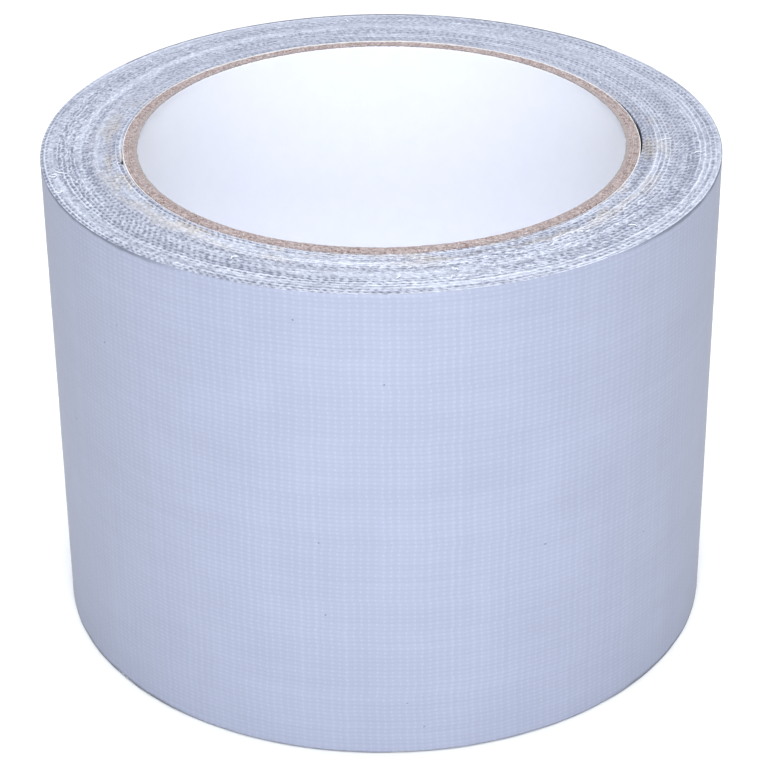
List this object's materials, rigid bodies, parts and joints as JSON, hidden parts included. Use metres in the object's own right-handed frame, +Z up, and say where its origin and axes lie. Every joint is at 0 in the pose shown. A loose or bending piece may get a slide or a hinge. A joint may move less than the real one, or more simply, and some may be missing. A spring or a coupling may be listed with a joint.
{
  "type": "roll of duct tape",
  "caption": "Wide silver cloth-backed adhesive tape wound on a round paper core, with a free end that peels off the roll.",
  "frame": {"origin": "on the core's axis, in the roll's bottom side", "axes": "+Z up along the core's axis; the free end of the tape lies on the +Y side, the back"},
  "size_m": [0.1049, 0.1049, 0.0782],
  "materials": {
    "liner_paper": "matte",
    "kraft_board": "matte",
    "cover_paper": "matte",
    "tape_edges": "satin",
    "silver_film": "satin",
    "scrim_cloth": "matte",
    "adhesive": "satin"
  },
  "bodies": {
    "roll": {"bore_liner_ply": "liner_paper", "core_kraft_ply_1": "kraft_board", "core_kraft_ply_2": "kraft_board", "core_kraft_ply_3": "kraft_board", "core_kraft_ply_4": "kraft_board", "core_cover_ply": "cover_paper", "wound_turns": "tape_edges", "outer_turn_film": "silver_film", "outer_turn_scrim": "scrim_cloth", "outer_turn_adhesive": "adhesive"},
    "tail_link_1": {"tail_film_1": "silver_film", "tail_scrim_1": "scrim_cloth", "tail_adhesive_1": "adhesive"},
    "tail_link_2": {"tail_film_2": "silver_film", "tail_scrim_2": "scrim_cloth", "tail_adhesive_2": "adhesive"},
    "tail_link_3": {"tail_film_3": "silver_film", "tail_scrim_3": "scrim_cloth", "tail_adhesive_3": "adhesive"},
    "tail_link_4": {"tail_film_4": "silver_film", "tail_scrim_4": "scrim_cloth", "tail_adhesive_4": "adhesive"},
    "tail_link_5": {"tail_film_5": "silver_film", "tail_scrim_5": "scrim_cloth", "tail_adhesive_5": "adhesive"},
    "tail_link_6": {"tail_film_6": "silver_film", "tail_scrim_6": "scrim_cloth", "tail_adhesive_6": "adhesive"},
    "tail_link_7": {"tail_film_7": "silver_film", "tail_scrim_7": "scrim_cloth", "tail_adhesive_7": "adhesive"},
    "tail_link_8": {"tail_film_8": "silver_film", "tail_scrim_8": "scrim_cloth", "tail_adhesive_8": "adhesive"},
    "tail_link_9": {"tail_film_9": "silver_film", "tail_scrim_9": "scrim_cloth", "tail_adhesive_9": "adhesive"},
    "tail_link_10": {"tail_film_10": "silver_film", "tail_scrim_10": "scrim_cloth", "tail_adhesive_10": "adhesive"},
    "tail_link_11": {"tail_film_11": "silver_film", "tail_scrim_11": "scrim_cloth", "tail_adhesive_11": "adhesive"},
    "tail_link_12": {"tail_film_12": "silver_film", "tail_scrim_12": "scrim_cloth", "tail_adhesive_12": "adhesive"},
    "tail_link_13": {"tail_film_13": "silver_film", "tail_scrim_13": "scrim_cloth", "tail_adhesive_13": "adhesive"},
    "tail_link_14": {"tail_film_14": "silver_film", "tail_scrim_14": "scrim_cloth", "tail_adhesive_14": "adhesive"},
    "tail_link_15": {"tail_film_15": "silver_film", "tail_scrim_15": "scrim_cloth", "tail_adhesive_15": "adhesive"},
    "tail_link_16": {"tail_film_16": "silver_film", "tail_scrim_16": "scrim_cloth", "tail_adhesive_16": "adhesive"}
  },
  "joints": [
    {"name": "tail_peel_1", "type": "hinge", "parent": "roll", "child": "tail_link_1", "pos_m": [-0.04021, 0.03374, 0.0391], "axis": [0, 0, 1], "range_deg": [0, 9]},
    {"name": "tail_peel_2", "type": "hinge", "parent": "tail_link_1", "child": "tail_link_2", "pos_m": [-0.03647, 0.03777, 0.0391], "axis": [0, 0, 1], "range_deg": [0, 9]},
    {"name": "tail_peel_3", "type": "hinge", "parent": "tail_link_2", "child": "tail_link_3", "pos_m": [-0.03232, 0.04137, 0.0391], "axis": [0, 0, 1], "range_deg": [0, 9]},
    {"name": "tail_peel_4", "type": "hinge", "parent": "tail_link_3", "child": "tail_link_4", "pos_m": [-0.02782, 0.04453, 0.0391], "axis": [0, 0, 1], "range_deg": [0, 9]},
    {"name": "tail_peel_5", "type": "hinge", "parent": "tail_link_4", "child": "tail_link_5", "pos_m": [-0.02302, 0.0472, 0.0391], "axis": [0, 0, 1], "range_deg": [0, 9]},
    {"name": "tail_peel_6", "type": "hinge", "parent": "tail_link_5", "child": "tail_link_6", "pos_m": [-0.01796, 0.04935, 0.0391], "axis": [0, 0, 1], "range_deg": [0, 9]},
    {"name": "tail_peel_7", "type": "hinge", "parent": "tail_link_6", "child": "tail_link_7", "pos_m": [-0.0127, 0.05096, 0.0391], "axis": [0, 0, 1], "range_deg": [0, 9]},
    {"name": "tail_peel_8", "type": "hinge", "parent": "tail_link_7", "child": "tail_link_8", "pos_m": [-0.00731, 0.05201, 0.0391], "axis": [0, 0, 1], "range_deg": [0, 9]},
    {"name": "tail_peel_9", "type": "hinge", "parent": "tail_link_8", "child": "tail_link_9", "pos_m": [-0.00183, 0.05249, 0.0391], "axis": [0, 0, 1], "range_deg": [0, 9]},
    {"name": "tail_peel_10", "type": "hinge", "parent": "tail_link_9", "child": "tail_link_10", "pos_m": [0.00366, 0.0524, 0.0391], "axis": [0, 0, 1], "range_deg": [0, 9]},
    {"name": "tail_peel_11", "type": "hinge", "parent": "tail_link_10", "child": "tail_link_11", "pos_m": [0.00912, 0.05173, 0.0391], "axis": [0, 0, 1], "range_deg": [0, 9]},
    {"name": "tail_peel_12", "type": "hinge", "parent": "tail_link_11", "child": "tail_link_12", "pos_m": [0.01448, 0.0505, 0.0391], "axis": [0, 0, 1], "range_deg": [0, 9]},
    {"name": "tail_peel_13", "type": "hinge", "parent": "tail_link_12", "child": "tail_link_13", "pos_m": [0.01968, 0.04871, 0.0391], "axis": [0, 0, 1], "range_deg": [0, 9]},
    {"name": "tail_peel_14", "type": "hinge", "parent": "tail_link_13", "child": "tail_link_14", "pos_m": [0.02467, 0.04639, 0.0391], "axis": [0, 0, 1], "range_deg": [0, 9]},
    {"name": "tail_peel_15", "type": "hinge", "parent": "tail_link_14", "child": "tail_link_15", "pos_m": [0.02938, 0.04356, 0.0391], "axis": [0, 0, 1], "range_deg": [0, 9]},
    {"name": "tail_peel_16", "type": "hinge", "parent": "tail_link_15", "child": "tail_link_16", "pos_m": [0.03378, 0.04025, 0.0391], "axis": [0, 0, 1], "range_deg": [0, 9]}
  ]
}
